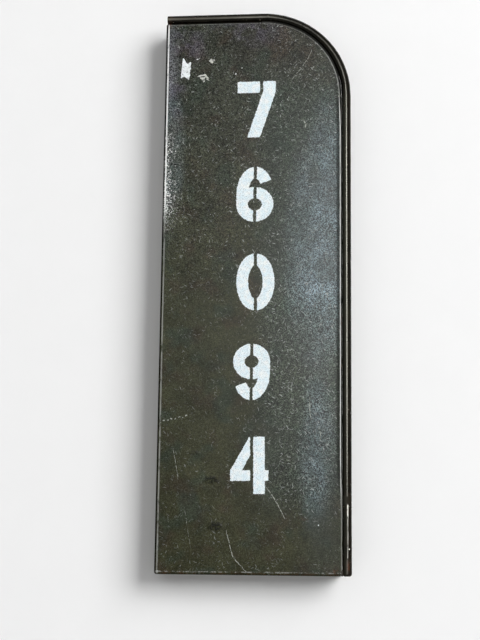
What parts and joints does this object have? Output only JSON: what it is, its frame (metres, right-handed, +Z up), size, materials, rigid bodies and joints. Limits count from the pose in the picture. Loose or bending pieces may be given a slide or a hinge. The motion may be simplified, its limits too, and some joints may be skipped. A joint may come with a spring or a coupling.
{
  "type": "directional sign",
  "caption": "Tall narrow wall sign: a folded steel pan with an open back, one large round corner, a round edging rod along the top and side, and flat hanger bars with keyholes.",
  "frame": {"origin": "centre of the upper hanger bar's rear face, midway between the two keyholes", "axes": "+Z up along the sign's height, +X to the right seen from the front, the painted face looks along -Y and the open back along +Y"},
  "size_m": [0.2032, 0.0322, 0.6096],
  "materials": {
    "panel_paint": "worn satin olive grey paint with scratches and bare edges",
    "rod_paint": "glossy near-black paint, rusty at its ends",
    "bar_paint": "dull grey primer with rust at the edges",
    "bead_paint": "painted weld metal"
  },
  "bodies": {
    "root": {"face_panel": "panel_paint", "corner_band": "panel_paint", "top_rod": "rod_paint", "side_rod": "rod_paint", "upper_hanger_bar": "bar_paint", "lower_hanger_bar": "bar_paint", "rod_joint_weld": "bead_paint", "top_rod_weld_1": "bead_paint", "top_rod_weld_2": "bead_paint", "top_rod_weld_3": "bead_paint", "top_rod_weld_4": "bead_paint", "side_rod_weld_1": "bead_paint", "side_rod_weld_2": "bead_paint", "side_rod_weld_3": "bead_paint", "side_rod_weld_4": "bead_paint", "side_rod_weld_5": "bead_paint", "side_rod_weld_6": "bead_paint", "side_rod_weld_7": "bead_paint", "side_rod_weld_8": "bead_paint", "band_face_weld_1": "bead_paint", "band_face_weld_2": "bead_paint", "band_face_weld_3": "bead_paint", "band_face_weld_4": "bead_paint", "band_seam_weld_1": "bead_paint", "band_seam_weld_2": "bead_paint", "pan_corner_weld_1": "bead_paint", "pan_corner_weld_2": "bead_paint", "pan_corner_weld_3": "bead_paint", "upper_hanger_weld_1": "bead_paint", "upper_hanger_weld_2": "bead_paint", "upper_hanger_weld_3": "bead_paint", "upper_hanger_weld_4": "bead_paint", "lower_hanger_weld_1": "bead_paint", "lower_hanger_weld_2": "bead_paint", "lower_hanger_weld_3": "bead_paint", "lower_hanger_weld_4": "bead_paint"}
  },
  "joints": []
}
